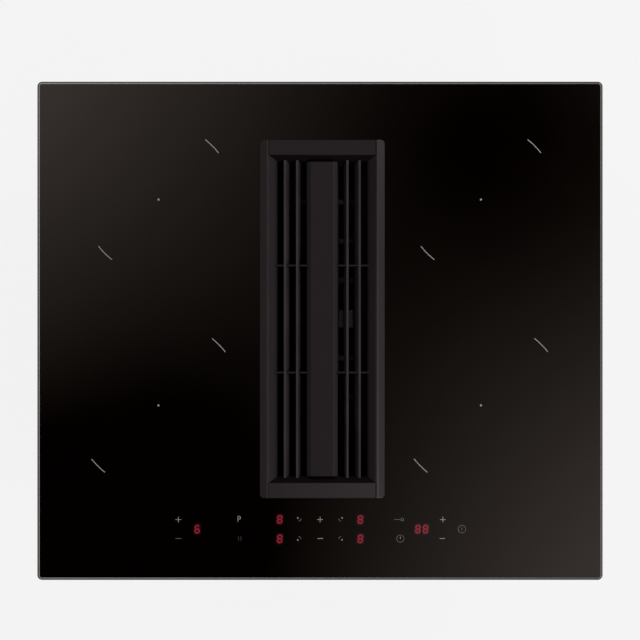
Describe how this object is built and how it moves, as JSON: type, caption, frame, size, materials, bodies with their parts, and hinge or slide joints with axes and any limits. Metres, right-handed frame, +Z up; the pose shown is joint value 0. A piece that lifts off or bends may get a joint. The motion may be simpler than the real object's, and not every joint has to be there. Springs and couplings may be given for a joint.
{
  "type": "downdraft induction cooktop",
  "caption": "Built-in glass induction cooktop with a lift-off vent grille, grease filter, downdraft blower, overflow tank and flat-duct outlet.",
  "frame": {"origin": "middle of the glass in plan, at the worktop's upper face, where the seal rests", "axes": "+X to the user's right along the long side, +Y to the rear, +Z up"},
  "size_m": [0.59, 0.52, 0.197],
  "materials": {
    "black_glass": "gloss",
    "seal_rubber": "matte",
    "galvanised_sheet": "satin",
    "black_plastic": "matte",
    "filter_steel": "satin",
    "grille_enamel": "satin",
    "copper_winding": "satin",
    "former_plastic": "matte",
    "ferrite": "matte",
    "sensor_ceramic": "matte",
    "plain_aluminium": "satin",
    "circuit_board": "satin",
    "fan_plastic": "matte",
    "display_red": "gloss",
    "terminal_plastic": "matte",
    "housing_plastic": "matte",
    "tank_plastic": "matte",
    "wheel_plastic": "matte",
    "motor_steel": "satin",
    "bright_steel": "satin",
    "glass_print": "matte"
  },
  "bodies": {
    "housing": {"glass_top": "black_glass", "worktop_seal": "seal_rubber", "hob_tray": "galvanised_sheet", "hold_down_brackets": "galvanised_sheet", "tank_rails": "galvanised_sheet", "well_collar": "black_plastic", "air_well": "black_plastic", "cable_gland": "black_plastic", "touch_holder": "black_plastic", "coil_winding_rear_left": "copper_winding", "coil_winding_rear_right": "copper_winding", "coil_winding_front_left": "copper_winding", "coil_winding_front_right": "copper_winding", "coil_former_rear_left": "former_plastic", "coil_former_rear_right": "former_plastic", "coil_former_front_left": "former_plastic", "coil_former_front_right": "former_plastic", "coil_ferrites": "ferrite", "zone_sensors": "sensor_ceramic", "coil_carrier_left": "plain_aluminium", "coil_carrier_right": "plain_aluminium", "heat_sink_left": "plain_aluminium", "heat_sink_right": "plain_aluminium", "power_board_left": "circuit_board", "power_board_right": "circuit_board", "touch_board": "circuit_board", "cooling_fan_housing_left": "fan_plastic", "cooling_fan_housing_right": "fan_plastic", "number_displays": "display_red", "terminal_block": "terminal_plastic", "suction_box": "housing_plastic", "scroll_housing": "housing_plastic", "scroll_floor": "housing_plastic", "inlet_nozzle": "housing_plastic", "outlet_spigot": "housing_plastic", "blower_driver": "housing_plastic", "motor_base": "motor_steel", "motor_stator": "motor_steel", "flap_pin": "bright_steel"},
    "filter": {"filter_tub": "filter_steel", "filter_mesh": "filter_steel", "filter_grid": "filter_steel", "filter_grip": "filter_steel"},
    "grille": {"grille_rail_left": "grille_enamel", "grille_rail_right": "grille_enamel", "grille_end_bar_front": "grille_enamel", "grille_end_bar_rear": "grille_enamel", "grille_slopes": "grille_enamel", "grille_fins": "grille_enamel", "grille_fin_combs": "grille_enamel", "grille_center_bar": "grille_enamel", "grille_cross_ribs": "grille_enamel", "grille_pads": "seal_rubber"},
    "tank": {"overflow_tank": "tank_plastic"},
    "wheel": {"blower_wheel": "wheel_plastic", "motor_rotor": "motor_steel", "motor_shaft": "bright_steel"},
    "cooling_rotor_left": {"cooling_fan_rotor_left": "fan_plastic"},
    "cooling_rotor_right": {"cooling_fan_rotor_right": "fan_plastic"},
    "flap": {"non_return_flap": "wheel_plastic"}
  },
  "joints": [
    {"name": "filter_lift", "type": "slide", "parent": "housing", "child": "filter", "axis": [0, 0, 1], "range_m": [0, 0.06]},
    {"name": "grille_lift", "type": "slide", "parent": "filter", "child": "grille", "axis": [0, 0, 1], "range_m": [0, 0.05]},
    {"name": "tank_slide", "type": "slide", "parent": "housing", "child": "tank", "axis": [0, -1, 0], "range_m": [0, 0.18]},
    {"name": "wheel_spin", "type": "hinge", "parent": "housing", "child": "wheel", "pos_m": [0.0024, 0.08, -0.14], "axis": [0, 0, 1], "continuous": true},
    {"name": "cooling_spin_left", "type": "hinge", "parent": "housing", "child": "cooling_rotor_left", "pos_m": [-0.205, 0.16, -0.035], "axis": [0, 0, 1], "continuous": true},
    {"name": "cooling_spin_right", "type": "hinge", "parent": "housing", "child": "cooling_rotor_right", "pos_m": [0.205, 0.16, -0.035], "axis": [0, 0, 1], "continuous": true},
    {"name": "flap_swing", "type": "hinge", "parent": "housing", "child": "flap", "pos_m": [0.1014, 0.182, -0.1041], "axis": [1, 0, 0], "range_deg": [0, 70]}
  ]
}
